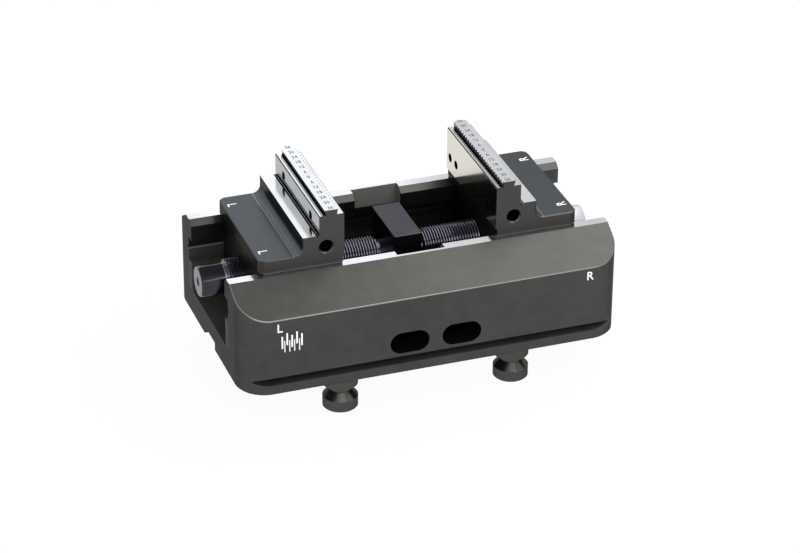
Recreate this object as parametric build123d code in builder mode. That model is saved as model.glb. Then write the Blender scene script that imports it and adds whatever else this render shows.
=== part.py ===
from build123d import *
import os

# Self-centring vise on four pull studs, millimetres.
# X runs along the spindle, Y across the jaws, Z up.
# The origin is the centre of the base's underside.

# Base body
base_length = 210.0
base_width = 125.0
base_height = 56.5
base_corner_radius = 16.0
base_side_slope_height = 12.7
base_side_edge_chamfer = 0.5
base_edge_chamfer = 0.6

# Rails and trough: widths across both sides, depths below the rails' top
rails_outer_width = 79.6
rail_inner_width = 68.4
guide_width = 61.6
guide_lead_in = 2.9
slot_ceiling_depth = 11.5
slot_height = 7.6
slot_width = 72.8
slot_relief_height = 2.8
slot_relief_depth = 1.9
ledge_depth = 24.9
trough_floor_height = 15.0
trough_floor_fillet = 1.5

# Pockets that let the jaws' ribs into the slots
loading_gap_length = 26.4
loading_gap_width = 76.4

# Chip windows through both long walls
window_length = 21.6
window_height = 12.2
window_spacing = 28.8
window_centre_rise = 2.8

# Clamping groove along both long sides
groove_top_height = 9.9
groove_bottom_height = 5.6
groove_depth = 4.3
groove_root_height = 1.2

# Alignment keyways in the underside
keyway_width = 20.0
keyway_depth = 5.0
keyway_length = 34.0

# Spindle
spindle_rise = 22.7
thread_radius = 10.0
thread_pitch = 1.5
spindle_left_end = 110.5
spindle_right_end = 106.0
hex_across_flats = 16.0
hex_turned_radius = 9.0
hex_length = 13.0
hex_chamfer = 1.2
hex_turn_angle = 4.0
neck_radius = 7.2
neck_length = 25.0
thrust_collar_radius = 9.3
thrust_collar_width = 6.0
centre_hole_depth = 4.3
centre_hole_mouth_radius = 2.5
thread_end_chamfer = 0.8

# Bearing block round the spindle's neck
block_length = 15.4
block_width = 36.4
block_top_depth = 0.5
block_edge_chamfer = 0.6
bearing_clearance = 0.05

# Screws that pull the bearing block down from below
block_screw_radius = 3.0
block_screw_head_radius = 5.0
block_screw_head_height = 6.0
block_screw_socket_across_flats = 5.0
block_screw_spacing = 26.8
block_screw_seat_height = 7.0
block_screw_cover = 9.0

# Pull studs
stud_spacing_x = 96.0
stud_spacing_y = 96.0
stud_radius = 9.5
stud_collar_height = 8.0
stud_neck_radius = 5.9
stud_neck_height = 3.2
stud_cone_height = 4.2
stud_head_height = 6.3
stud_edge_chamfer = 0.5

# Screws that hold the pull studs
stud_screw_radius = 4.0
stud_screw_head_radius = 6.5
stud_screw_head_height = 7.6
stud_screw_socket_across_flats = 6.0
stud_screw_length = 32.0
stud_screw_recess = 0.7

# Screw fits
screw_thread_clearance = 0.05
screw_passing_clearance = 0.4
screw_head_clearance = 0.5
screw_hole_run_out = 3.0
socket_depth_share = 0.55

# Jaws, with their heights above the rails' top
jaw_opening = 84.0
jaw_width = 75.0
jaw_wall_rise = 29.5
jaw_wall_thickness = 13.6
jaw_face_rise = 5.0
jaw_face_relief = 0.8
jaw_length = 46.0
shelf_length = 8.9
shelf_rise = 18.4
shelf_groove_width = 1.8
shelf_groove_depth = 1.2
plate_rise = 8.2
plate_fillet = 4.6
plate_corner_radius = 4.0
jaw_edge_chamfer = 0.5
jaw_bottom_chamfer = 1.0

# Gripping ridge on each jaw
ridge_height = 2.9
ridge_step = 3.0
ridge_width = 7.6
ridge_undercut = 1.0
tooth_pitch = 3.0
tooth_depth = 0.9
tooth_gap = 1.9

# Slide under each jaw
slide_inset = 2.5
slide_end_inset = 0.8
slide_depth = 24.6
slide_edge_chamfer = 0.6
hub_width = 34.0
hub_wall = 5.7
hub_corner_radius = 8.0
rib_length = 25.0
rib_width = 72.2
rib_height = 6.6
slide_clearance = 0.05

# Tapped holes in the jaws
face_hole_radius = 2.5
face_hole_inner_spacing = 46.8
face_hole_outer_spacing = 65.0
face_hole_rise = 13.3
face_hole_depth = 5.6
back_hole_radius = 2.5
back_hole_spacing = 46.0
back_hole_rise = 23.3
back_hole_depth = 8.0
stop_hole_radius = 3.4
stop_hole_mouth_radius = 4.1
stop_hole_offset = 9.8
stop_hole_rise = 11.4
stop_hole_depth = 14.0

# Worked-out places
base_side_height = base_height - base_side_slope_height
slot_ceiling_height = base_height - slot_ceiling_depth
slot_floor_height = slot_ceiling_height - slot_height
ledge_height = base_height - ledge_depth
window_centre_height = trough_floor_height + window_centre_rise
spindle_height = trough_floor_height + spindle_rise
block_height = base_height - block_top_depth
block_screw_tip = block_height - block_screw_cover
jaw_wall_height = base_height + jaw_wall_rise
jaw_face_height = base_height + jaw_face_rise
shelf_height = base_height + shelf_rise
plate_height = base_height + plate_rise
face_hole_height = base_height + face_hole_rise
back_hole_height = base_height + back_hole_rise
stop_hole_height = base_height + stop_hole_rise
slide_bottom_height = base_height - slide_depth
jaw_face = jaw_opening / 2
jaw_back = jaw_face + jaw_wall_thickness
shelf_end = jaw_back + shelf_length
jaw_end = jaw_face + jaw_length
jaw_bottom_height = base_height + slide_clearance
slide_start = jaw_face + slide_inset
slide_end = jaw_end - slide_end_inset
slide_width = guide_width - 2 * slide_clearance
rib_top_height = slot_ceiling_height - slide_clearance
hub_bottom_height = spindle_height - thread_radius - hub_wall
stud_cone_bottom = -(stud_collar_height + stud_neck_height + stud_cone_height)
stud_bottom = stud_cone_bottom - stud_head_height
stud_screw_seat = stud_bottom + stud_screw_recess + stud_screw_head_height

os.makedirs("parts", exist_ok=True)

# Base body: the trough's section drawn out along X, cut to the rounded plan
half_section = [
    (0, 0),
    (base_width / 2, 0),
    (base_width / 2, base_side_height),
    (rails_outer_width / 2, base_height),
    (rail_inner_width / 2, base_height),
    (guide_width / 2, base_height - guide_lead_in),
    (guide_width / 2, slot_ceiling_height),
    (slot_width / 2, slot_ceiling_height),
    (slot_width / 2, slot_floor_height + slot_relief_height),
    (slot_width / 2 + slot_relief_depth, slot_floor_height + slot_relief_height / 2),
    (slot_width / 2 + slot_relief_depth, slot_floor_height),
    (slot_width / 2, slot_floor_height),
    (slot_width / 2, ledge_height),
    (guide_width / 2, ledge_height),
    (guide_width / 2, trough_floor_height),
    (0, trough_floor_height),
]
with BuildPart() as base_body:
    with BuildSketch(Plane.YZ):
        with BuildLine():
            Polyline(*half_section)
            mirror(about=Plane.YZ)
        make_face()
    extrude(amount=base_length / 2, both=True)
    with BuildSketch():
        RectangleRounded(base_length, base_width, base_corner_radius)
    extrude(amount=base_height, mode=Mode.INTERSECT)
    chamfer(base_body.faces().sort_by(Axis.Z)[0].edges(), base_edge_chamfer)
    floor_corners = base_body.edges().filter_by(Axis.X).filter_by_position(
        Axis.Z, trough_floor_height - 0.1, trough_floor_height + 0.1
    )
    fillet(floor_corners, trough_floor_fillet)
    outer_faces = base_body.faces().filter_by(lambda face: abs(face.center().Y) > rails_outer_width / 2)
    slopes = outer_faces.filter_by(lambda face: face.normal_at().Z > 0.1)
    slope_edges = slopes.edges().filter_by_position(Axis.Z, 0, base_height - 0.1)
    chamfer(slope_edges, base_side_edge_chamfer)

    with BuildSketch(Plane.XY.offset(base_height)):
        Rectangle(loading_gap_length, loading_gap_width)
    extrude(amount=slot_ceiling_height - base_height, mode=Mode.SUBTRACT)

    with BuildSketch(Plane.XZ.offset(base_width / 2)):
        with Locations((0, window_centre_height)):
            with GridLocations(window_spacing, 0, 2, 1):
                SlotOverall(window_length, window_height)
    extrude(amount=-base_width, mode=Mode.SUBTRACT)
    with BuildSketch(Plane.XY):
        Rectangle(window_spacing + window_length, guide_width)
    extrude(amount=trough_floor_height)

    groove_mouth = base_width / 2
    groove_root = groove_mouth - groove_depth
    groove_middle = (groove_top_height + groove_bottom_height) / 2
    with BuildSketch(Plane.YZ):
        with BuildLine():
            Polyline(
                (groove_mouth, groove_top_height),
                (groove_root, groove_middle + groove_root_height / 2),
                (groove_root, groove_middle - groove_root_height / 2),
                (groove_mouth, groove_bottom_height),
                close=True,
            )
        make_face()
        mirror(about=Plane.YZ)
    extrude(amount=base_length / 2, both=True, mode=Mode.SUBTRACT)

    with BuildSketch(Plane.XY):
        with Locations((-base_length / 2, 0), (base_length / 2, 0)):
            Rectangle(2 * keyway_length, keyway_width)
    extrude(amount=keyway_depth, mode=Mode.SUBTRACT)

    with GridLocations(stud_spacing_x, stud_spacing_y, 2, 2):
        with Locations(Plane.XY.rotated((180, 0, 0))):
            Hole(
                stud_screw_radius + screw_thread_clearance,
                stud_screw_seat + stud_screw_length + screw_hole_run_out,
            )
    with GridLocations(0, block_screw_spacing, 1, 2):
        with Locations(Plane.XY.rotated((180, 0, 0))):
            CounterBoreHole(
                block_screw_radius + screw_passing_clearance,
                block_screw_head_radius + screw_head_clearance,
                block_screw_seat_height,
                trough_floor_height,
            )
base_body.part.label = "base_body"
export_step(base_body.part, "parts/base_body.step")

# Spindle: hexagon ends, a right-hand and a left-hand thread, and a neck with its thrust collar
hex_start_left = -spindle_left_end + hex_length
hex_start_right = spindle_right_end - hex_length
neck_end = neck_length / 2
collar_end = thrust_collar_width / 2
with BuildPart() as spindle:
    with BuildSketch(Plane.XZ):
        with BuildLine():
            Polyline(
                (-spindle_left_end, spindle_height),
                (-spindle_left_end, spindle_height + hex_turned_radius - hex_chamfer),
                (-spindle_left_end + hex_chamfer, spindle_height + hex_turned_radius),
                (hex_start_left, spindle_height + hex_turned_radius),
                (hex_start_left + thread_end_chamfer, spindle_height + thread_radius),
                (-neck_end, spindle_height + thread_radius),
                (-neck_end, spindle_height + neck_radius),
                (-collar_end, spindle_height + neck_radius),
                (-collar_end, spindle_height + thrust_collar_radius),
                (collar_end, spindle_height + thrust_collar_radius),
                (collar_end, spindle_height + neck_radius),
                (neck_end, spindle_height + neck_radius),
                (neck_end, spindle_height + thread_radius),
                (hex_start_right - thread_end_chamfer, spindle_height + thread_radius),
                (hex_start_right, spindle_height + hex_turned_radius),
                (spindle_right_end - hex_chamfer, spindle_height + hex_turned_radius),
                (spindle_right_end, spindle_height + hex_turned_radius - hex_chamfer),
                (spindle_right_end, spindle_height),
                close=True,
            )
        make_face()
    revolve(axis=Axis((0, 0, spindle_height), (1, 0, 0)))
    for end, towards in ((-spindle_left_end, 1), (spindle_right_end, -1)):
        end_plane = Plane(origin=(end, 0, spindle_height), x_dir=(0, 1, 0), z_dir=(1, 0, 0))
        with BuildSketch(end_plane):
            Circle(thread_radius + 1)
            with Locations(Rotation(0, 0, hex_turn_angle + 90)):
                RegularPolygon(hex_across_flats / 2, 6, major_radius=False, mode=Mode.SUBTRACT)
        extrude(amount=towards * hex_length, mode=Mode.SUBTRACT)
        with BuildSketch(Plane.XZ):
            with BuildLine():
                Polyline(
                    (end, spindle_height),
                    (end, spindle_height + centre_hole_mouth_radius),
                    (end + towards * centre_hole_depth, spindle_height),
                    close=True,
                )
            make_face()
        revolve(axis=Axis((0, 0, spindle_height), (1, 0, 0)), mode=Mode.SUBTRACT)
spindle.part.label = "spindle"
export_step(spindle.part, "parts/spindle.step")


def bearing_block_half(low, high):
    """One half of the bearing block, split at the spindle's axis, bored for the neck and its collar."""
    with BuildPart() as half:
        with BuildSketch(Plane.XY.offset(low)):
            Rectangle(block_length, block_width)
        extrude(amount=high - low)
        with BuildSketch(Plane.YZ):
            with Locations((0, spindle_height)):
                Circle(neck_radius + bearing_clearance)
        extrude(amount=block_length, both=True, mode=Mode.SUBTRACT)
        with BuildSketch(Plane.YZ):
            with Locations((0, spindle_height)):
                Circle(thrust_collar_radius + bearing_clearance)
        extrude(amount=thrust_collar_width / 2 + bearing_clearance, both=True, mode=Mode.SUBTRACT)
        chamfer(half.edges().filter_by(Axis.Z).group_by(Axis.Y)[0], block_edge_chamfer)
        chamfer(half.edges().filter_by(Axis.Z).group_by(Axis.Y)[-1], block_edge_chamfer)
    return half


with BuildPart() as bearing_block_lower:
    add(bearing_block_half(trough_floor_height, spindle_height).part)
    with Locations((0, 0, spindle_height)):
        with GridLocations(0, block_screw_spacing, 1, 2):
            Hole(block_screw_radius + screw_passing_clearance, spindle_height - trough_floor_height)
bearing_block_lower.part.label = "bearing_block_lower"
export_step(bearing_block_lower.part, "parts/bearing_block_lower.step")

with BuildPart() as bearing_block_upper:
    add(bearing_block_half(spindle_height, block_height).part)
    chamfer(bearing_block_upper.faces().sort_by(Axis.Z)[-1].edges(), block_edge_chamfer / 2)
    with BuildSketch(Plane.XY.offset(spindle_height)):
        with GridLocations(0, block_screw_spacing, 1, 2):
            Circle(block_screw_radius + screw_thread_clearance)
    extrude(amount=block_screw_tip - spindle_height + screw_hole_run_out, mode=Mode.SUBTRACT)
bearing_block_upper.part.label = "bearing_block_upper"
export_step(bearing_block_upper.part, "parts/bearing_block_upper.step")


def cap_screw(x, y, seat, radius, length, head_radius, head_height, socket_across_flats):
    """A socket-head cap screw that points up, its head's shoulder at the height of the seat."""
    with BuildPart() as screw:
        with BuildSketch(Plane.XY.offset(seat - head_height)):
            with Locations((x, y)):
                Circle(head_radius)
        extrude(amount=head_height)
        with BuildSketch(Plane.XY.offset(seat)):
            with Locations((x, y)):
                Circle(radius)
        extrude(amount=length)
        with BuildSketch(Plane.XY.offset(seat - head_height)):
            with Locations((x, y)):
                RegularPolygon(socket_across_flats / 2, 6, major_radius=False)
        extrude(amount=head_height * socket_depth_share, mode=Mode.SUBTRACT)
    return screw


for side, y in (("front", -block_screw_spacing / 2), ("rear", block_screw_spacing / 2)):
    block_screw = cap_screw(
        0,
        y,
        block_screw_seat_height,
        block_screw_radius,
        block_screw_tip - block_screw_seat_height,
        block_screw_head_radius,
        block_screw_head_height,
        block_screw_socket_across_flats,
    )
    block_screw.part.label = f"block_screw_{side}"
    export_step(block_screw.part, f"parts/{block_screw.part.label}.step")

# Pull studs and their screws, one of each at every corner of the grid
collar_bottom = -stud_collar_height
neck_bottom = collar_bottom - stud_neck_height
for side, y in (("front", -stud_spacing_y / 2), ("rear", stud_spacing_y / 2)):
    for end, x in (("left", -stud_spacing_x / 2), ("right", stud_spacing_x / 2)):
        with BuildPart() as pull_stud:
            with BuildSketch(Plane.XZ.offset(-y)):
                with BuildLine():
                    Polyline(
                        (x, 0),
                        (x + stud_radius, 0),
                        (x + stud_radius, collar_bottom),
                        (x + stud_neck_radius, collar_bottom),
                        (x + stud_neck_radius, neck_bottom),
                        (x + stud_radius, stud_cone_bottom),
                        (x + stud_radius, stud_bottom + stud_edge_chamfer),
                        (x + stud_radius - stud_edge_chamfer, stud_bottom),
                        (x, stud_bottom),
                        close=True,
                    )
                make_face()
            revolve(axis=Axis((x, y, 0), (0, 0, 1)))
            with Locations(Plane(origin=(x, y, stud_bottom), x_dir=(1, 0, 0), z_dir=(0, 0, -1))):
                CounterBoreHole(
                    stud_screw_radius + screw_passing_clearance,
                    stud_screw_head_radius + screw_head_clearance / 2,
                    stud_screw_seat - stud_bottom,
                    -stud_bottom,
                )
        pull_stud.part.label = f"pull_stud_{side}_{end}"
        export_step(pull_stud.part, f"parts/{pull_stud.part.label}.step")
        stud_screw = cap_screw(
            x,
            y,
            stud_screw_seat,
            stud_screw_radius,
            stud_screw_length,
            stud_screw_head_radius,
            stud_screw_head_height,
            stud_screw_socket_across_flats,
        )
        stud_screw.part.label = f"stud_screw_{side}_{end}"
        export_step(stud_screw.part, f"parts/{stud_screw.part.label}.step")

# Right jaw: gripping wall, shelf and plate, in one piece with the slide and its threaded hub
ridge_start = jaw_face + ridge_step
ridge_end = ridge_start + ridge_width
ridge_top = jaw_wall_height + ridge_height
relieved_face = jaw_face + jaw_face_relief
groove_floor = shelf_height - shelf_groove_depth
slide_middle = (slide_start + slide_end) / 2
with BuildPart() as jaw_right:
    with BuildSketch(Plane.XZ):
        with BuildLine():
            Polyline(
                (shelf_end + plate_fillet, plate_height),
                (jaw_end, plate_height),
                (jaw_end, jaw_bottom_height),
                (relieved_face, jaw_bottom_height),
                (relieved_face, jaw_face_height),
                (jaw_face, jaw_face_height),
                (jaw_face, jaw_wall_height - jaw_edge_chamfer),
                (jaw_face + jaw_edge_chamfer, jaw_wall_height),
                (jaw_back - jaw_edge_chamfer, jaw_wall_height),
                (jaw_back, jaw_wall_height - jaw_edge_chamfer),
                (jaw_back, groove_floor),
                (jaw_back + shelf_groove_width, groove_floor),
                (jaw_back + shelf_groove_width, shelf_height),
                (shelf_end, shelf_height),
                (shelf_end, plate_height + plate_fillet),
            )
            RadiusArc(
                (shelf_end, plate_height + plate_fillet),
                (shelf_end + plate_fillet, plate_height),
                -plate_fillet,
            )
        make_face()
    extrude(amount=jaw_width / 2, both=True)
    fillet(jaw_right.edges().filter_by(Axis.Z).group_by(Axis.X)[-1], plate_corner_radius)
    underside = jaw_right.faces().sort_by(Axis.Z)[0]
    chamfer(underside.edges().filter_by(Axis.X), jaw_bottom_chamfer)
    flat_edges = jaw_right.edges().filter_by_position(Axis.Z, plate_height - 0.01, plate_height + 0.01)
    plate_edges = flat_edges.filter_by_position(Axis.X, shelf_end + plate_fillet + 0.1, jaw_end)
    chamfer(plate_edges, jaw_edge_chamfer)

    # Gripping ridge with overhanging flanks, notched into a row of teeth along both of them
    with BuildSketch(Plane.XZ):
        with BuildLine():
            Polyline(
                (ridge_start + ridge_undercut, jaw_wall_height),
                (ridge_start, ridge_top),
                (ridge_end, ridge_top),
                (ridge_end - ridge_undercut, jaw_wall_height),
                close=True,
            )
        make_face()
    extrude(amount=jaw_width / 2, both=True)
    tooth_count = round(jaw_width / tooth_pitch)
    with BuildSketch(Plane.XY.offset(jaw_wall_height)):
        for edge, inward in ((ridge_start, 1), (ridge_end, -1)):
            with BuildLine():
                Polyline(
                    (edge, -tooth_gap / 2),
                    (edge, tooth_gap / 2),
                    (edge + inward * tooth_depth, 0),
                    close=True,
                )
        notches = make_face(mode=Mode.PRIVATE)
        with GridLocations(0, tooth_pitch, 1, tooth_count + 1):
            add(notches)
    extrude(amount=ridge_height, mode=Mode.SUBTRACT)

    # Slide between the rails, its ribs in the rails' slots, and the hub round the spindle
    with BuildSketch(Plane.XY.offset(slide_bottom_height)):
        with Locations((slide_middle, 0)):
            slide_outline = Rectangle(slide_end - slide_start, slide_width)
        chamfer(slide_outline.vertices(), slide_edge_chamfer)
    extrude(amount=jaw_bottom_height - slide_bottom_height)
    slide_underside = jaw_right.faces().sort_by(Axis.Z)[0]
    chamfer(slide_underside.edges(), slide_edge_chamfer)
    with BuildSketch(Plane.XY.offset(rib_top_height - rib_height)):
        with Locations((slide_middle, 0)):
            rib_outline = Rectangle(rib_length, rib_width)
        chamfer(rib_outline.vertices(), slide_edge_chamfer)
    extrude(amount=rib_height)
    with BuildSketch(Plane.YZ.offset(slide_start)):
        with Locations((0, (hub_bottom_height + jaw_bottom_height) / 2)):
            hub_outline = Rectangle(hub_width, jaw_bottom_height - hub_bottom_height)
        fillet(hub_outline.vertices().group_by(Axis.Y)[0], hub_corner_radius)
    extrude(amount=slide_end - slide_start)
    with BuildSketch(Plane.YZ.offset(slide_start)):
        with Locations((0, spindle_height)):
            Circle(thread_radius + bearing_clearance)
    extrude(amount=slide_end - slide_start, mode=Mode.SUBTRACT)

    # Tapped holes in the gripping face and in the back of the wall
    face_plane = Plane(origin=(jaw_face, 0, face_hole_height), x_dir=(0, -1, 0), z_dir=(-1, 0, 0))
    for spacing in (face_hole_inner_spacing, face_hole_outer_spacing):
        with Locations(face_plane):
            with GridLocations(spacing, 0, 2, 1):
                Hole(face_hole_radius, face_hole_depth)
    back_plane = Plane(origin=(jaw_back, 0, back_hole_height), x_dir=(0, 1, 0), z_dir=(1, 0, 0))
    with Locations(back_plane):
        with GridLocations(back_hole_spacing, 0, 2, 1):
            Hole(back_hole_radius, back_hole_depth)

    # A hole for a workpiece stop in each end of the wall
    for end in (-1, 1):
        stop_place = (jaw_face + stop_hole_offset, end * jaw_width / 2, stop_hole_height)
        with Locations(Plane(origin=stop_place, x_dir=(1, 0, 0), z_dir=(0, end, 0))):
            CounterSinkHole(stop_hole_radius, stop_hole_mouth_radius, stop_hole_depth, 90)
jaw_right.part.label = "jaw_right"
export_step(jaw_right.part, "parts/jaw_right.step")

# Left jaw: the right jaw mirrored, with a left-hand thread
with BuildPart() as jaw_left:
    mirror(jaw_right.part, about=Plane.YZ)
jaw_left.part.label = "jaw_left"
export_step(jaw_left.part, "parts/jaw_left.step")
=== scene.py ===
import math

import bmesh
import bpy
from mathutils import Matrix, Vector


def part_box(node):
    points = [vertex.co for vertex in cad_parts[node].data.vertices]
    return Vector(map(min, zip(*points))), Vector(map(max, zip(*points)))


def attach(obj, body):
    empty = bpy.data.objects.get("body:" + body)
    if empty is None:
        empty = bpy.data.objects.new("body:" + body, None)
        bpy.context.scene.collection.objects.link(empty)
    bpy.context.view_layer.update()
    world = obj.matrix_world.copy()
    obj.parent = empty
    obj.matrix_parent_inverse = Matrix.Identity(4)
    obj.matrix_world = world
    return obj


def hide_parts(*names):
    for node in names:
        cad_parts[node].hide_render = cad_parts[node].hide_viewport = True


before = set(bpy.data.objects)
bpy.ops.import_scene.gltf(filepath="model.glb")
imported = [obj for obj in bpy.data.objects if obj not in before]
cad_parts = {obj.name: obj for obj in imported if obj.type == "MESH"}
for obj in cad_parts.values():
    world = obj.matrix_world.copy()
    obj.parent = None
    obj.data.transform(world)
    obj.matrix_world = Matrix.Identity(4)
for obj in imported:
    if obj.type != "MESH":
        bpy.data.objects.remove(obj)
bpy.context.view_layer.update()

MM = 0.001

# Places read from the frame
base_low, base_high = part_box("base_body")
jaw_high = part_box("jaw_right")[1]
spindle_low, spindle_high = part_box("spindle")
stud_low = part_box("pull_stud_front_left")[0]
spindle_axis_height = (spindle_low.z + spindle_high.z) / 2

# Base
rail_inner_y = 34.2 * MM
rail_outer_y = 39.8 * MM
window_reach_x = 26.0 * MM
window_bottom = 11.0 * MM
window_top = 24.5 * MM
loading_gap_x = 13.2 * MM
loading_gap_y = 38.2 * MM
loading_gap_inner_y = 32.2 * MM
slot_ceiling = 45.0 * MM
slot_floor = 37.4 * MM
slot_wall_y = 36.4 * MM
slot_relief_y = 38.3 * MM
slot_mouth_x = 84.0 * MM
guide_y = 30.8 * MM
trough_floor = 15.0 * MM
corner_radius = 16.0 * MM
slope_foot = 43.8 * MM
slope_normal_y = 0.4883
slope_normal_z = 0.8727
slope_bevel = 0.7 * MM
groove_low = 5.6 * MM
groove_high = 9.9 * MM
groove_root_y = 58.2 * MM

# Jaws
face_x = 42.0 * MM
face_bottom = 61.5 * MM
face_hole_height = 69.8 * MM
face_hole_depth = 5.8 * MM
wall_back_x = 55.6 * MM
wall_top = 86.0 * MM
wall_top_bevel = 0.5 * MM
back_hole_height = 79.8 * MM
back_hole_depth = 8.2 * MM
jaw_hole_reach = 2.6 * MM
stop_hole_x = 51.8 * MM
stop_hole_height = 67.9 * MM
stop_hole_reach = 3.5 * MM
stop_hole_lip = 3.2 * MM
shelf_end_x = 64.5 * MM
shelf_height = 74.9 * MM
shelf_groove = 1.8 * MM
shelf_groove_depth = 1.2 * MM
shelf_groove_black_start = 0.4 * MM
shelf_groove_black_end = 1.4 * MM
plate_height = 64.7 * MM
plate_fillet = 4.6 * MM
plate_line_reach = 0.3 * MM
plate_rim = 0.3 * MM
foot_bevel_start = 0.08 * MM
foot_bevel = 1.0 * MM
ridge_middle_x = 48.8 * MM
ridge_foot_reach = 2.8 * MM
ridge_lean = 1.0 / 2.9
tooth_start = 1.8 * MM
tooth_reach = 0.3 * MM

# Spindle
thread_crest = 10.0 * MM
thread_root = 9.1 * MM
thread_pitch = 1.5 * MM
thread_start = 12.5 * MM
thread_end_left = 97.5 * MM
thread_end_right = 93.0 * MM
thread_lead_in = 0.8 * MM
thread_half_foot = 0.62 * MM
thread_half_crest = 0.12 * MM
thread_steps_per_turn = 40
barrel_inner_radius = 9.15 * MM
bright_end_start_x = 82.0 * MM
bright_end_full_x = 92.0 * MM
merge_distance = 0.001 * MM

# Lettering and graduation lines
letter_rise = 0.02 * MM
letter_weight = 0.06 * MM
letter_curve_steps = 3
scale_step = 6
scale_last = 36
scale_size = 4.1 * MM
scale_squeeze = 0.8
scale_shift = 0.35 * MM
letter_squeeze = 0.95
plate_letter_size = 7.2 * MM
plate_letter_x = 85.3 * MM
plate_letter_front_y = -27.0 * MM
plate_letter_rear_y = 27.5 * MM
front_letter_size = 7.0 * MM
front_letter_height = 36.7 * MM
front_letter_left_x = -85.2 * MM
front_letter_right_x = 86.0 * MM
tick_start_x = -83.95 * MM
tick_pitch = 2.64 * MM
long_tick_bottoms = (26.8 * MM, 28.5 * MM, 27.0 * MM, 28.6 * MM, 27.1 * MM)
long_tick_length = 7.1 * MM
long_tick_width = 0.85 * MM
short_tick_bottom = 24.5 * MM
short_tick_length = 6.8 * MM
short_tick_width = 0.5 * MM

# Small distances by which a mask or a piece stays clear of a face, or reaches past it
hair = 0.02 * MM
film = 0.04 * MM
thin = 0.05 * MM
wide = 0.1 * MM
round_corner_clearance = 0.08 * MM

# Colours
# Painted shade: black put inside holes, windows, grooves, flanks and bevels
painted_hole_shade = "#0c0c0d"
# Painted reflection: a bluish tint on the jaws' plates
painted_cool_reflection = "#505356"
# Painted light: a lighter colour in the loading gap, trough, grooves and the jaws' foot bevels
painted_light_coat = "#626460"
# Painted highlight: a lighter colour along narrow edges and lines
painted_highlight_coat = "#747979"
ground_dark = "#aeb0b3"
ground_light = "#bbbdbf"
# Painted reflection: a cream tint on the jaws' gripping faces
painted_warm_reflection = "#d6d2c7"
polished_ground = "#9c9e9f"
oxide_dark = "#35353b"
oxide_light = "#3f3f46"
# Spindle: lighter right of the left hex, and brighter steel towards the right end
thread_oxide_dark = "#5e5e68"
thread_oxide_light = "#6e6e79"
bright_end_dark = "#a3a4a8"
bright_end_light = "#b8b9bc"
plain_white = (1.0, 1.0, 1.0, 1.0)
dull_rim = (0.45, 0.45, 0.45, 1.0)

# Shares of a mask, and roughness values
# Painted light in the trough rises between these two distances to its share
trough_shade_start_x = 60.0 * MM
trough_shade_end_x = 90.0 * MM
trough_share = 0.35
# Share of painted light in the base's side grooves
groove_share = 0.16
gloss_below = 0.04
gloss_above = 0.05
polish_low = 0.7
polish_high = 1.4
polished_roughness = 0.06
oxide_smoothest = 0.12
oxide_roughest = 0.2
bright_end_roughness = 0.38
spindle_metallic = 0.95
marking_roughness_range = 0.1
marking_shade = 0.82

# Noise: the values that it mostly takes, scales in cycles a metre, stretches along a grinding
# direction, and the grain's depth
noise_middle = (0.35, 0.65)
noise_reach = (0.3, 0.7)
fine_grain = 5200.0
speck_grain = 2600.0
coarse_grain = 1400.0
fine_tone = 120.0
ground_tone = 45.0
slow_tone = 16.0
coarse_share = 0.35
along_x = (60.0, 9000.0, 9000.0)
along_y = (9000.0, 60.0, 9000.0)
line_height = 4.0
grain_depth = 0.02 * MM

# Photograph's camera
photo_width = 800
focal_pixels = 3174.0
sensor_width = 36.0
nearest_seen = 0.05
furthest_seen = 50.0
camera_place = Vector((-0.49850, -1.40036, 0.85735))
camera_right = Vector((0.94293, -0.33291, 0.00693))
camera_up = Vector((0.15758, 0.46445, 0.87147))
camera_back = Vector((-0.29334, -0.82064, 0.49040))

# Floor and studio
floor_reach = 6.0
floor_grey = 0.86
floor_glow = 0.96
sky_strength = 1.25
sky_dimming_start = 0.55
sky_dimming_end = 0.9
sky_overhead = 0.25
studio_middle = (0.0, 0.0, 0.05)


def make_camera():
    """The photograph's view, with the picture's middle on the lens axis."""
    lens = bpy.data.cameras.new("camera")
    lens.sensor_width = sensor_width
    lens.lens = focal_pixels * sensor_width / photo_width
    lens.clip_start = nearest_seen
    lens.clip_end = furthest_seen
    camera = bpy.data.objects.new("camera", lens)
    bpy.context.scene.collection.objects.link(camera)
    turn = Matrix((camera_right, camera_up, camera_back)).transposed()
    camera.matrix_world = Matrix.Translation(camera_place) @ turn.to_4x4()
    bpy.context.scene.camera = camera


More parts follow.
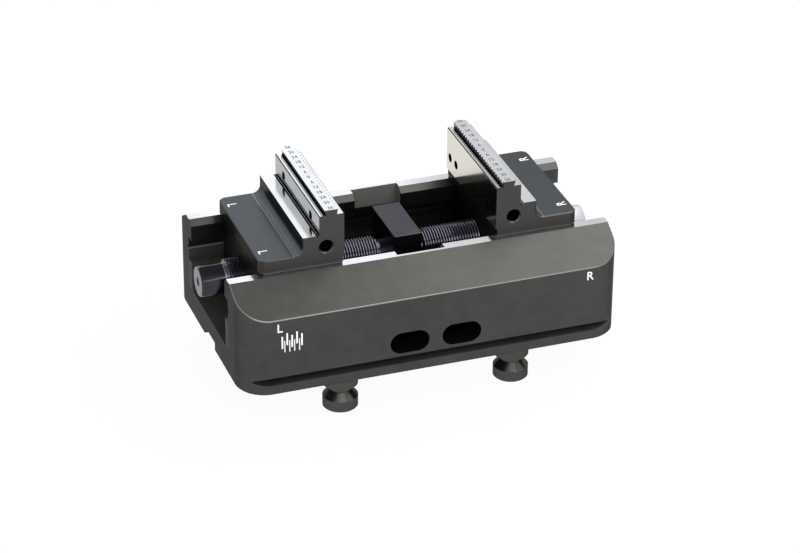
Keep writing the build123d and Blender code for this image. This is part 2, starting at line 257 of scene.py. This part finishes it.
class Nodes:
    """Short names for building a node tree."""

    def __init__(self, tree):
        self.tree = tree

    def add(self, kind, **settings):
        node = self.tree.nodes.new(kind)
        for name, value in settings.items():
            setattr(node, name, value)
        return node

    def link(self, output, socket):
        self.tree.links.new(output, socket)

    def fill(self, socket, value):
        """Link a node's output, or set a plain value."""
        if isinstance(value, bpy.types.NodeSocket):
            self.link(value, socket)
        else:
            socket.default_value = value

    def math(self, operation, first, second=None):
        node = self.add("ShaderNodeMath", operation=operation)
        self.fill(node.inputs[0], first)
        if second is not None:
            self.fill(node.inputs[1], second)
        return node.outputs[0]

    def product(self, *values):
        result = values[0]
        for value in values[1:]:
            result = self.math("MULTIPLY", result, value)
        return result

    def greatest(self, *values):
        result = values[0]
        for value in values[1:]:
            result = self.math("MAXIMUM", result, value)
        return result

    def over(self, value, limit):
        return self.math("GREATER_THAN", value, limit)

    def under(self, value, limit):
        return self.math("LESS_THAN", value, limit)

    def between(self, value, low, high):
        return self.product(self.over(value, low), self.under(value, high))

    def near(self, value, middle, reach):
        return self.between(value, middle - reach, middle + reach)

    def mix(self, factor, first, second):
        """One colour turning into another."""
        node = self.add("ShaderNodeMix", data_type="RGBA")
        self.fill(node.inputs[0], factor)
        self.fill(node.inputs[6], first)
        self.fill(node.inputs[7], second)
        return node.outputs[2]

    def blend(self, factor, first, second):
        """One number turning into another."""
        node = self.add("ShaderNodeMix", data_type="FLOAT")
        self.fill(node.inputs[0], factor)
        self.fill(node.inputs[2], first)
        self.fill(node.inputs[3], second)
        return node.outputs[0]

    def noise(self, vector, scale, detail, roughness):
        node = self.add("ShaderNodeTexNoise")
        self.link(vector, node.inputs["Vector"])
        node.inputs["Scale"].default_value = scale
        node.inputs["Detail"].default_value = detail
        node.inputs["Roughness"].default_value = roughness
        return node.outputs["Fac"]

    def spread(self, value, low, high, to_low, to_high):
        node = self.add("ShaderNodeMapRange", clamp=True)
        self.fill(node.inputs[0], value)
        for socket, number in zip(node.inputs[1:5], (low, high, to_low, to_high)):
            socket.default_value = number
        return node.outputs[0]

    def contrast(self, noise):
        """A noise's middle stretched to run from 0 to 1."""
        return self.spread(noise, *noise_middle, 0.0, 1.0)

    def vary(self, noise, low, high):
        """A value that follows a noise between two limits."""
        return self.spread(noise, *noise_reach, low, high)

    def bump(self, height, strength):
        node = self.add("ShaderNodeBump")
        node.inputs["Strength"].default_value = strength
        node.inputs["Distance"].default_value = grain_depth
        self.link(height, node.inputs["Height"])
        return node.outputs["Normal"]


def linear(level):
    """A level of the sRGB standard, from 0 to 1, as a linear one."""
    if level <= 0.04045:
        return level / 12.92
    return ((level + 0.055) / 1.055) ** 2.4


def rgb(code):
    """A linear colour from a six-digit colour code."""
    levels = [int(code[i : i + 2], 16) / 255 for i in (1, 3, 5)]
    return tuple(linear(level) for level in levels) + (1.0,)


def make_group(name, inputs, outputs):
    """An empty shader node group with float or vector sockets."""
    tree = bpy.data.node_groups.new(name, "ShaderNodeTree")
    for socket_name, kind in inputs:
        tree.interface.new_socket(socket_name, in_out="INPUT", socket_type=kind)
    for socket_name, kind in outputs:
        tree.interface.new_socket(socket_name, in_out="OUTPUT", socket_type=kind)
    nodes = Nodes(tree)
    return tree, nodes, nodes.add("NodeGroupInput"), nodes.add("NodeGroupOutput")


def make_blasted_group():
    """Fine even grain of a blasted and coated steel skin, and its slow change of tone."""
    tree, nodes, entry, leave = make_group(
        "blasted_skin",
        [("Vector", "NodeSocketVector")],
        [("Grain", "NodeSocketFloat"), ("Tone", "NodeSocketFloat")],
    )
    vector = entry.outputs["Vector"]
    fine = nodes.noise(vector, fine_grain, detail=3.0, roughness=0.6)
    coarse = nodes.noise(vector, coarse_grain, detail=2.0, roughness=0.5)
    clouds = nodes.noise(vector, slow_tone, detail=3.0, roughness=0.55)
    patches = nodes.noise(vector, fine_tone, detail=3.0, roughness=0.6)
    nodes.link(nodes.blend(coarse_share, fine, coarse), leave.inputs["Grain"])
    nodes.link(nodes.blend(0.5, clouds, patches), leave.inputs["Tone"])
    return tree


def make_ground_group():
    """Long straight scratches that a grinding wheel leaves along one direction."""
    tree, nodes, entry, leave = make_group(
        "ground_lines",
        [("Vector", "NodeSocketVector"), ("Stretch", "NodeSocketVector")],
        [("Lines", "NodeSocketFloat"), ("Tone", "NodeSocketFloat")],
    )
    stretched = nodes.add("ShaderNodeVectorMath", operation="MULTIPLY")
    nodes.link(entry.outputs["Vector"], stretched.inputs[0])
    nodes.link(entry.outputs["Stretch"], stretched.inputs[1])
    lines = nodes.noise(stretched.outputs[0], 1.0, detail=3.0, roughness=0.65)
    tone = nodes.noise(entry.outputs["Vector"], ground_tone, detail=3.0, roughness=0.5)
    nodes.link(lines, leave.inputs["Lines"])
    nodes.link(tone, leave.inputs["Tone"])
    return tree


def place_group(nodes, tree, **values):
    """Put a node group into a material and fill its inputs."""
    node = nodes.add("ShaderNodeGroup")
    node.node_tree = tree
    for name, value in values.items():
        nodes.fill(node.inputs[name], value)
    return node.outputs


def new_material(name):
    """A material, its node helper, its Principled shader and the object's own coordinates."""
    material = bpy.data.materials.new(name)
    material.use_nodes = True
    nodes = Nodes(material.node_tree)
    shader = material.node_tree.nodes["Principled BSDF"]
    coordinates = nodes.add("ShaderNodeTexCoord").outputs["Object"]
    return material, nodes, shader, coordinates


def split_place(nodes, place):
    """The three parts of a place."""
    node = nodes.add("ShaderNodeSeparateXYZ")
    nodes.link(place, node.inputs[0])
    return node.outputs


def from_middle(nodes, place):
    """Distances from the vise's middle along the spindle and across it, and the height."""
    x, y, height = split_place(nodes, place)
    return nodes.math("ABSOLUTE", x), nodes.math("ABSOLUTE", y), height


blasted_skin = make_blasted_group()
ground_lines = make_ground_group()


def coated_steel(
    name,
    dark,
    light,
    gloss,
    ground,
    painted_shade,
    painted_light,
    edge,
    cool_reflection=None,
    warm_reflection=None,
    polished=None,
    stretch=along_x,
    shine=0.16,
):
    """Dark coated steel, bright where it is ground, with painted black shade inside its holes and
    recesses.

    Further masks paint light into recesses as a lighter, duller colour, paint highlights on narrow
    edges, paint a bluish reflection on a coated face, and paint a cream reflection on ground faces
    or make them smoother.
    """
    material, nodes, shader, place = new_material(name)
    skin = place_group(nodes, blasted_skin, Vector=place)
    lines = place_group(nodes, ground_lines, Vector=place, Stretch=stretch)
    ground_mask = ground(nodes, place)
    painted_shade_mask = painted_shade(nodes, place)
    painted_light_mask = painted_light(nodes, place)

    coat = nodes.mix(nodes.contrast(skin["Tone"]), rgb(dark), rgb(light))
    # Painted bluish reflection on a coated face
    if cool_reflection:
        coat = nodes.mix(cool_reflection(nodes, place), coat, rgb(painted_cool_reflection))
    # Painted black shade, then painted light, then painted highlights along narrow edges
    coat = nodes.mix(painted_shade_mask, coat, rgb(painted_hole_shade))
    coat = nodes.mix(painted_light_mask, coat, rgb(painted_light_coat))
    coat = nodes.mix(edge(nodes, place), coat, rgb(painted_highlight_coat))
    coat_gloss = nodes.vary(skin["Tone"], gloss - gloss_below, gloss + gloss_above)

    bright = nodes.mix(nodes.contrast(lines["Tone"]), rgb(ground_dark), rgb(ground_light))
    polish = nodes.vary(lines["Lines"], polish_low * shine, polish_high * shine)
    # Painted cream reflection on ground faces
    if warm_reflection:
        bright = nodes.mix(warm_reflection(nodes, place), bright, rgb(painted_warm_reflection))
    if polished:
        polished_mask = polished(nodes, place)
        bright = nodes.mix(polished_mask, bright, rgb(polished_ground))
        polish = nodes.blend(polished_mask, polish, polished_roughness)

    # Painted shade and painted light are not metallic
    painted_light_and_shade_mask = nodes.greatest(painted_shade_mask, painted_light_mask)
    metallic = nodes.greatest(ground_mask, nodes.math("SUBTRACT", 1.0, painted_light_and_shade_mask))
    line_relief = nodes.product(lines["Lines"], line_height * shine)
    relief = nodes.blend(ground_mask, skin["Grain"], line_relief)
    nodes.link(nodes.mix(ground_mask, coat, bright), shader.inputs["Base Color"])
    nodes.link(nodes.blend(ground_mask, coat_gloss, polish), shader.inputs["Roughness"])
    nodes.link(metallic, shader.inputs["Metallic"])
    nodes.link(nodes.mix(ground_mask, dull_rim, plain_white), shader.inputs["Specular Tint"])
    shader.inputs["Specular IOR Level"].default_value = 0.0
    nodes.link(nodes.bump(relief, strength=0.25), shader.inputs["Normal"])
    return material


def base_ground_mask(nodes, place):
    """The flat tops of the base's rails."""
    _, side, height = from_middle(nodes, place)
    return nodes.product(
        nodes.over(height, base_high.z - thin),
        nodes.between(side, rail_inner_y - thin, rail_outer_y - hair),
    )


def base_hollow_mask(nodes, place):
    """Painted black shade inside the chip windows, between the trough and the base's outer sides."""
    along, side, height = from_middle(nodes, place)
    return nodes.product(
        nodes.under(along, window_reach_x),
        nodes.under(side, base_high.y - wide),
        nodes.between(height, window_bottom, window_top),
    )


def slot_floor_mask(nodes, place):
    """Ends of the floors of the two slots beside the trough, where the jaws come in, painted as a light
    line.
    """
    along, side, height = from_middle(nodes, place)
    return nodes.product(
        nodes.over(along, slot_mouth_x),
        nodes.near(height, slot_floor, thin),
        nodes.between(side, guide_y + wide, slot_relief_y + wide),
    )


def base_pocket_mask(nodes, place):
    """Painted light on the loading gap's walls, the slot floors' ends, and part of the trough and the
    grooves.
    """
    along, side, height = from_middle(nodes, place)
    gap = nodes.product(
        nodes.under(along, loading_gap_x + thin),
        nodes.between(side, loading_gap_inner_y, loading_gap_y + wide),
        nodes.between(height, slot_ceiling + thin, base_high.z - thin),
    )
    trough = nodes.product(
        nodes.spread(along, trough_shade_start_x, trough_shade_end_x, 0.0, trough_share),
        nodes.under(side, slot_wall_y + wide),
        nodes.between(height, trough_floor - wide, slot_floor - wide),
    )
    groove = nodes.product(
        nodes.between(side, groove_root_y - wide, base_high.y - thin),
        nodes.between(height, groove_low + film, groove_high - film),
        groove_share,
    )
    return nodes.greatest(gap, slot_floor_mask(nodes, place), trough, groove)


def base_edge_mask(nodes, place):
    """Painted highlights on the ends of the slot floors, and on the bevel where each sloping side meets
    the upright sides.
    """
    along, side, height = from_middle(nodes, place)
    past_x = nodes.math("SUBTRACT", along, base_high.x - corner_radius)
    past_y = nodes.math("SUBTRACT", side, base_high.y - corner_radius)
    past_x = nodes.math("MAXIMUM", past_x, 0.0)
    past_y = nodes.math("MAXIMUM", past_y, 0.0)
    reach_squared = nodes.math("ADD", nodes.product(past_x, past_x), nodes.product(past_y, past_y))
    upright_depth = nodes.math("SUBTRACT", corner_radius, nodes.math("SQRT", reach_squared))
    inward = nodes.product(nodes.math("SUBTRACT", base_high.y, side), slope_normal_y)
    downward = nodes.product(nodes.math("SUBTRACT", slope_foot, height), slope_normal_z)
    slope_depth = nodes.math("ADD", inward, downward)
    bevel = nodes.product(
        nodes.between(upright_depth, round_corner_clearance, slope_bevel),
        nodes.between(slope_depth, film, slope_bevel),
    )
    return nodes.greatest(bevel, slot_floor_mask(nodes, place))


def jaw_back_mask(nodes, place):
    """The flat back of a jaw's wall."""
    along, _, height = from_middle(nodes, place)
    return nodes.product(
        nodes.near(along, wall_back_x, film),
        nodes.over(height, shelf_height - shelf_groove_depth - thin),
    )


def jaw_face_mask(nodes, place):
    """The gripping face of a jaw, which is ground and gets a cream painted reflection."""
    along, _, height = from_middle(nodes, place)
    return nodes.product(
        nodes.under(along, face_x + film),
        nodes.over(height, face_bottom - thin),
    )


def jaw_ground_mask(nodes, place):
    """Gripping face, wall top, ridge top, teeth, wall back, shelf and the groove's outer part."""
    along, side, height = from_middle(nodes, place)
    tops = nodes.greatest(
        nodes.near(height, wall_top, film),
        nodes.over(height, jaw_high.z - film),
    )
    from_ridge = nodes.math("ABSOLUTE", nodes.math("SUBTRACT", along, ridge_middle_x))
    flank_rise = nodes.product(nodes.math("SUBTRACT", height, wall_top), ridge_lean)
    flank_depth = nodes.math("SUBTRACT", from_ridge, flank_rise)
    teeth = nodes.product(
        nodes.over(height, wall_top + tooth_start),
        nodes.near(flank_depth, ridge_foot_reach, tooth_reach),
    )
    shelf = nodes.product(
        nodes.near(height, shelf_height, film),
        nodes.between(along, wall_back_x + shelf_groove, shelf_end_x - hair),
    )
    groove_start = wall_back_x + shelf_groove_black_end
    groove = nodes.product(
        nodes.between(along, groove_start, wall_back_x + shelf_groove + film),
        nodes.between(height, shelf_height - shelf_groove_depth - thin, shelf_height),
    )
    back = jaw_back_mask(nodes, place)
    face = jaw_face_mask(nodes, place)
    inside = nodes.under(side, jaw_high.y - hair)
    return nodes.product(nodes.greatest(tops, teeth, shelf, groove, back, face), inside)


def jaw_pocket_mask(nodes, place):
    """Painted light on the bevel along a jaw's lower front and rear edge, which lies in the rail's shade.
    """
    _, side, height = from_middle(nodes, place)
    return nodes.product(
        nodes.between(height, base_high.z + foot_bevel_start, base_high.z + foot_bevel),
        nodes.between(side, jaw_high.y - foot_bevel - thin, jaw_high.y - film),
    )


def jaw_edge_mask(nodes, place):
    """Painted highlights on the line where a jaw's plate runs into its fillet, and on the bevel at the
    jaw's foot.
    """
    along, _, height = from_middle(nodes, place)
    line = nodes.product(
        nodes.near(along, shelf_end_x + plate_fillet, plate_line_reach),
        nodes.near(height, plate_height, wide),
    )
    return nodes.greatest(line, jaw_pocket_mask(nodes, place))


def jaw_plate_mask(nodes, place):
    """A jaw's low plate and the fillet behind it, which get a bluish painted reflection."""
    along, side, height = from_middle(nodes, place)
    return nodes.product(
        nodes.over(along, shelf_end_x + thin),
        nodes.between(height, plate_height - plate_rim, plate_height + plate_fillet),
        nodes.under(side, jaw_high.y - plate_rim),
    )


def jaw_hollow_mask(nodes, place):
    """Painted black shade inside a jaw's holes, on the groove's inner part, the ridge's flanks and the
    wall's top bevels.
    """
    along, side, height = from_middle(nodes, place)
    off_ends = nodes.under(side, jaw_high.y - wide)
    inside = nodes.under(side, jaw_high.y - hair)
    face_holes = nodes.product(
        nodes.between(along, face_x + thin, face_x + face_hole_depth),
        nodes.near(height, face_hole_height, jaw_hole_reach),
        off_ends,
    )
    back_holes = nodes.product(
        nodes.between(along, wall_back_x - back_hole_depth, wall_back_x - thin),
        nodes.near(height, back_hole_height, jaw_hole_reach),
        off_ends,
    )
    stop_holes = nodes.product(
        nodes.near(along, stop_hole_x, stop_hole_reach),
        nodes.near(height, stop_hole_height, stop_hole_reach),
        nodes.under(side, jaw_high.y - stop_hole_lip),
    )
    groove_start = wall_back_x + shelf_groove_black_start
    groove = nodes.product(
        nodes.between(along, groove_start, wall_back_x + shelf_groove_black_end),
        nodes.near(height, shelf_height - shelf_groove_depth, wide),
        off_ends,
    )
    flanks = nodes.product(
        nodes.between(height, wall_top + thin, jaw_high.z - thin),
        inside,
    )
    top_bevels = nodes.product(
        nodes.between(height, wall_top - wall_top_bevel - hair, wall_top - film),
        nodes.between(along, face_x + hair, wall_back_x - hair),
        inside,
    )
    return nodes.greatest(face_holes, back_holes, stop_holes, groove, flanks, top_bevels)


def plain_steel(name, dark, light, gloss, metallic):
    """Steel of one finish all over: black oxide, bright or turned."""
    material, nodes, shader, place = new_material(name)
    skin = place_group(nodes, blasted_skin, Vector=place)
    colour = nodes.mix(nodes.contrast(skin["Tone"]), rgb(dark), rgb(light))
    roughness = nodes.vary(skin["Tone"], gloss - gloss_below, gloss + gloss_above)
    nodes.link(colour, shader.inputs["Base Color"])
    nodes.link(roughness, shader.inputs["Roughness"])
    shader.inputs["Metallic"].default_value = metallic
    shader.inputs["Specular Tint"].default_value = dull_rim
    nodes.link(nodes.bump(skin["Grain"], strength=0.15), shader.inputs["Normal"])
    return material


def oxidised_spindle():
    """Black oxide, darkest on the left hex, lighter on the threads and turning to brighter steel towards
    the right end.
    """
    material, nodes, shader, place = new_material("spindle_steel")
    skin = place_group(nodes, blasted_skin, Vector=place)
    tone = nodes.contrast(skin["Tone"])
    along = split_place(nodes, place)[0]
    toward_bright_end = nodes.spread(along, bright_end_start_x, bright_end_full_x, 0.0, 1.0)
    past_left_hex = nodes.over(along, -thread_end_left)
    dark = nodes.mix(past_left_hex, rgb(oxide_dark), rgb(thread_oxide_dark))
    light = nodes.mix(past_left_hex, rgb(oxide_light), rgb(thread_oxide_light))
    oxide = nodes.mix(tone, dark, light)
    steel = nodes.mix(tone, rgb(bright_end_dark), rgb(bright_end_light))
    nodes.link(nodes.mix(toward_bright_end, oxide, steel), shader.inputs["Base Color"])
    oxide_roughness = nodes.vary(skin["Tone"], oxide_smoothest, oxide_roughest)
    nodes.link(nodes.blend(toward_bright_end, oxide_roughness, bright_end_roughness), shader.inputs["Roughness"])
    shader.inputs["Metallic"].default_value = spindle_metallic
    nodes.link(nodes.bump(skin["Grain"], strength=0.12), shader.inputs["Normal"])
    return material


def marking(name, colour, smoothest):
    """Thin lettering: laser-burnt or filled with paint."""
    material, nodes, shader, place = new_material(name)
    speck = nodes.noise(place, speck_grain, detail=2.0, roughness=0.6)
    full = rgb(colour)
    shade = tuple(marking_shade * level for level in full[:3]) + (1.0,)
    roughness = nodes.vary(speck, smoothest, smoothest + marking_roughness_range)
    nodes.link(nodes.mix(nodes.contrast(speck), shade, full), shader.inputs["Base Color"])
    nodes.link(roughness, shader.inputs["Roughness"])
    nodes.link(nodes.bump(speck, strength=0.2), shader.inputs["Normal"])
    return material


base_steel = coated_steel(
    "base_steel",
    dark="#444542",
    light="#4d4e4b",
    gloss=0.36,
    ground=base_ground_mask,
    painted_shade=base_hollow_mask,
    painted_light=base_pocket_mask,
    edge=base_edge_mask,
)
jaw_steel = coated_steel(
    "jaw_steel",
    dark="#494745",
    light="#504e4c",
    gloss=0.32,
    ground=jaw_ground_mask,
    painted_shade=jaw_hollow_mask,
    painted_light=jaw_pocket_mask,
    edge=jaw_edge_mask,
    cool_reflection=jaw_plate_mask,
    warm_reflection=jaw_face_mask,
    polished=jaw_back_mask,
    stretch=along_y,
    shine=0.12,
)
block_steel = plain_steel("block_steel", dark="#45454a", light="#4c4c51", gloss=0.32, metallic=1.0)
spindle_steel = oxidised_spindle()
stud_steel = plain_steel("stud_steel", dark="#464744", light="#50514e", gloss=0.24, metallic=1.0)
screw_steel = plain_steel("screw_steel", dark="#2b2b2e", light="#36363a", gloss=0.28, metallic=1.0)
burnt_mark = marking("burnt_mark", "#3c3c40", smoothest=0.5)
white_mark = marking("white_mark", "#f4f4f2", smoothest=0.45)


def paint_nodes():
    """Give every CAD node its finish."""
    for name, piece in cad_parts.items():
        if name == "base_body":
            finish = base_steel
        elif name.startswith("jaw"):
            finish = jaw_steel
        elif name == "spindle":
            finish = spindle_steel
        elif name.startswith("bearing_block"):
            finish = block_steel
        elif name.startswith("pull_stud"):
            finish = stud_steel
        else:
            finish = screw_steel
        piece.data.materials.clear()
        piece.data.materials.append(finish)


def finish_piece(bm, name, finish, body):
    """Turn a bmesh into a piece that rides on a body."""
    bmesh.ops.recalc_face_normals(bm, faces=bm.faces)
    mesh = bpy.data.meshes.new(name)
    bm.to_mesh(mesh)
    bm.free()
    mesh.materials.append(finish)
    piece = bpy.data.objects.new(name, mesh)
    bpy.context.scene.collection.objects.link(piece)
    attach(piece, body)
    return piece


def smooth_piece(piece, angle):
    """Shade smoothly over edges flatter than the angle."""
    piece.data.polygons.foreach_set("use_smooth", [True] * len(piece.data.polygons))
    piece.data.set_sharp_from_angle(angle=math.radians(angle))


def make_spindle_bar():
    """The turned bar, with its two barrels cut down to the thread's root."""
    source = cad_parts["spindle"]
    bm = bmesh.new()
    bm.from_mesh(source.data)
    bmesh.ops.remove_doubles(bm, verts=bm.verts, dist=merge_distance)
    barrel = []
    for vert in bm.verts:
        radius = math.hypot(vert.co.y, vert.co.z - spindle_axis_height)
        if radius > barrel_inner_radius and abs(vert.co.x) > thread_start - wide:
            if -thread_end_left - wide < vert.co.x < thread_end_right + wide:
                barrel.append(vert)
    shrink = thread_root / thread_crest
    to_axis = Matrix.Translation((0.0, 0.0, -spindle_axis_height))
    bmesh.ops.scale(bm, vec=(1.0, shrink, shrink), space=to_axis, verts=barrel)
    bar = finish_piece(bm, "spindle_bar", spindle_steel, "spindle")
    smooth_piece(bar, angle=25.0)
    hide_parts("spindle")


def make_thread(name, start, end):
    """A helical ridge, made by spinning its closed profile, with both ends run out.

    Wound outwards from the middle, it is right-hand on the right and left-hand on the left.
    """
    turns = (abs(end - start) - thread_pitch) / thread_pitch
    steps = int(turns * thread_steps_per_turn)
    direction = 1 if end > start else -1
    first = start + direction * thread_pitch / 2
    foot = thread_root - wide
    profile = [
        (-thread_half_foot, foot),
        (-thread_half_crest, thread_crest),
        (thread_half_crest, thread_crest),
        (thread_half_foot, foot),
    ]
    bm = bmesh.new()
    verts = [bm.verts.new((first + along, 0.0, spindle_axis_height + radius)) for along, radius in profile]
    bmesh.ops.spin(
        bm,
        geom=[bm.faces.new(verts)],
        cent=(0.0, 0.0, spindle_axis_height),
        axis=(1.0, 0.0, 0.0),
        dvec=(direction * thread_pitch / thread_steps_per_turn, 0.0, 0.0),
        angle=2.0 * math.pi * steps / thread_steps_per_turn,
        steps=steps,
        use_merge=False,
        use_duplicate=False,
    )
    low, high = sorted((start, end))
    slope = (thread_crest - thread_root) / thread_lead_in
    for vert in bm.verts:
        depth = max(min(vert.co.x - low, high - vert.co.x), 0.0)
        limit = thread_root + wide + depth * slope
        radius = math.hypot(vert.co.y, vert.co.z - spindle_axis_height)
        if radius > limit:
            ratio = limit / radius
            vert.co.y *= ratio
            vert.co.z = spindle_axis_height + (vert.co.z - spindle_axis_height) * ratio
    thread = finish_piece(bm, name, spindle_steel, "spindle")
    smooth_piece(thread, angle=40.0)


def text_mesh(words, size, squeeze):
    """Thin solid lettering in the XY plane, centred across and standing on its baseline."""
    curve = bpy.data.curves.new("lettering", "FONT")
    curve.body = words
    curve.size = size
    curve.align_x = "CENTER"
    curve.extrude = letter_rise
    curve.offset = letter_weight
    curve.resolution_u = letter_curve_steps
    carrier = bpy.data.objects.new("lettering", curve)
    bpy.context.scene.collection.objects.link(carrier)
    bpy.context.view_layer.update()
    evaluated = carrier.evaluated_get(bpy.context.evaluated_depsgraph_get())
    mesh = bpy.data.meshes.new_from_object(evaluated)
    bpy.data.objects.remove(carrier)
    mesh.transform(Matrix.Diagonal((squeeze, 1.0, 1.0, 1.0)))
    return mesh


def add_lettering(bm, words, size, squeeze, place):
    """Put lettering into a bmesh at its place."""
    mesh = text_mesh(words, size, squeeze)
    mesh.transform(place)
    bm.from_mesh(mesh)
    bpy.data.meshes.remove(mesh)


def make_scale(hand, side):
    """Numbers burnt into the top of a ridge, counted from its middle both ways."""
    bm = bmesh.new()
    for number in range(-scale_last, scale_last + 1, scale_step):
        y = number * MM - scale_shift
        place = Matrix.Translation((side * ridge_middle_x, y, jaw_high.z))
        add_lettering(bm, str(abs(number)), scale_size, scale_squeeze, place)
    finish_piece(bm, f"scale_numbers_{hand}", burnt_mark, f"jaw_{hand}")


def make_plate_letters(hand, side, letter):
    """A letter at each end of a jaw's plate, read from its own end of the vise."""
    bm = bmesh.new()
    turn = Matrix.Rotation(side * math.pi / 2, 4, "Z")
    for y in (plate_letter_front_y, plate_letter_rear_y):
        place = Matrix.Translation((side * plate_letter_x, y, plate_height)) @ turn
        add_lettering(bm, letter, plate_letter_size, letter_squeeze, place)
    finish_piece(bm, f"plate_letters_{hand}", white_mark, f"jaw_{hand}")


def make_front_letters():
    """A letter at each end of the base's front."""
    bm = bmesh.new()
    upright = Matrix.Rotation(math.pi / 2, 4, "X")
    for letter, x in (("L", front_letter_left_x), ("R", front_letter_right_x)):
        place = Matrix.Translation((x, base_low.y, front_letter_height)) @ upright
        add_lettering(bm, letter, front_letter_size, letter_squeeze, place)
    finish_piece(bm, "front_letters", white_mark, "base")


def add_tick(bm, x, bottom, length, width):
    """One graduation line, half sunk into the base's front."""
    middle = Matrix.Translation((x, base_low.y, bottom + length / 2))
    size = Matrix.Diagonal((width, 2 * letter_rise, length, 1.0))
    bmesh.ops.create_cube(bm, size=1.0, matrix=middle @ size)


def make_graduation():
    """Long graduation lines under the left letter, with shorter ones between them."""
    bm = bmesh.new()
    for index, bottom in enumerate(long_tick_bottoms):
        add_tick(bm, tick_start_x + index * tick_pitch, bottom, long_tick_length, long_tick_width)
    for index in range(len(long_tick_bottoms) - 1):
        x = tick_start_x + (index + 0.5) * tick_pitch
        add_tick(bm, x, short_tick_bottom, short_tick_length, short_tick_width)
    finish_piece(bm, "front_graduation", white_mark, "base")


def floor_material():
    """Plain pale floor that shows as white to the camera and takes the object's shadow."""
    material = bpy.data.materials.new("studio_floor")
    material.use_nodes = True
    nodes = Nodes(material.node_tree)
    material.node_tree.nodes.remove(material.node_tree.nodes["Principled BSDF"])
    plain = nodes.add("ShaderNodeBsdfDiffuse")
    plain.inputs["Color"].default_value = (floor_grey, floor_grey, floor_grey, 1.0)
    glow = nodes.add("ShaderNodeEmission")
    glow.inputs["Color"].default_value = plain_white
    glow.inputs["Strength"].default_value = 1.0
    rays = nodes.add("ShaderNodeLightPath").outputs
    seen = nodes.greatest(rays["Is Camera Ray"], rays["Is Glossy Ray"], rays["Is Transmission Ray"])
    mixed = nodes.add("ShaderNodeMixShader")
    nodes.link(nodes.product(seen, floor_glow), mixed.inputs[0])
    nodes.link(plain.outputs[0], mixed.inputs[1])
    nodes.link(glow.outputs[0], mixed.inputs[2])
    nodes.link(mixed.outputs[0], material.node_tree.nodes["Material Output"].inputs["Surface"])
    return material


def make_floor():
    """The floor, level with the pull studs' feet."""
    bm = bmesh.new()
    bmesh.ops.create_grid(bm, x_segments=1, y_segments=1, size=floor_reach)
    mesh = bpy.data.meshes.new("floor")
    bm.to_mesh(mesh)
    bm.free()
    mesh.transform(Matrix.Translation((0.0, 0.0, stud_low.z)))
    floor = bpy.data.objects.new("floor", mesh)
    bpy.context.scene.collection.objects.link(floor)
    mesh.materials.append(floor_material())


def make_world():
    """A pale studio: bright all round, greyer overhead, plain white behind the object."""
    world = bpy.data.worlds.new("studio")
    bpy.context.scene.world = world
    world.use_nodes = True
    nodes = Nodes(world.node_tree)
    background = world.node_tree.nodes["Background"]
    direction = nodes.add("ShaderNodeTexCoord").outputs["Generated"]
    height = split_place(nodes, direction)[2]
    level = nodes.spread(height, sky_dimming_start, sky_dimming_end, 1.0, sky_overhead)
    rays = nodes.add("ShaderNodeLightPath")
    level = nodes.blend(rays.outputs["Is Camera Ray"], nodes.product(level, sky_strength), 1.0)
    nodes.link(level, background.inputs["Strength"])
    background.inputs["Color"].default_value = plain_white


def make_softbox(name, place, target, size_x, size_y, power, colour=(1.0, 1.0, 1.0)):
    """A rectangular area light at a place, turned to its target."""
    light = bpy.data.lights.new(name, "AREA")
    light.shape = "RECTANGLE"
    light.size = size_x
    light.size_y = size_y
    light.energy = power
    light.color = colour
    lamp = bpy.data.objects.new(name, light)
    bpy.context.scene.collection.objects.link(lamp)
    lamp.location = place
    lamp.rotation_mode = "QUATERNION"
    lamp.rotation_quaternion = (Vector(target) - Vector(place)).to_track_quat("-Z", "Y")


def make_lights():
    """Three softboxes: over the right end, in front, and behind to the left."""
    make_softbox(
        "overhead_right",
        place=(0.64, 0.0, 0.9),
        target=(0.64, 0.0, 0.0),
        size_x=0.9,
        size_y=1.2,
        power=11.0,
    )
    make_softbox(
        "front",
        place=(-0.25, -1.9, 1.5),
        target=studio_middle,
        size_x=2.4,
        size_y=0.8,
        power=17.0,
    )
    make_softbox(
        "rear_left",
        place=(-0.03, 0.74, 0.5),
        target=studio_middle,
        size_x=0.65,
        size_y=0.5,
        power=0.7,
        colour=(0.96, 0.98, 1.0),
    )


bpy.context.scene.view_settings.view_transform = "Standard"
make_camera()
paint_nodes()
make_spindle_bar()
make_thread("thread_right", thread_start, thread_end_right)
make_thread("thread_left", -thread_start, -thread_end_left)
for hand, side, letter in (("left", -1, "L"), ("right", 1, "R")):
    make_scale(hand, side)
    make_plate_letters(hand, side, letter)
make_front_letters()
make_graduation()
make_floor()
make_world()
make_lights()
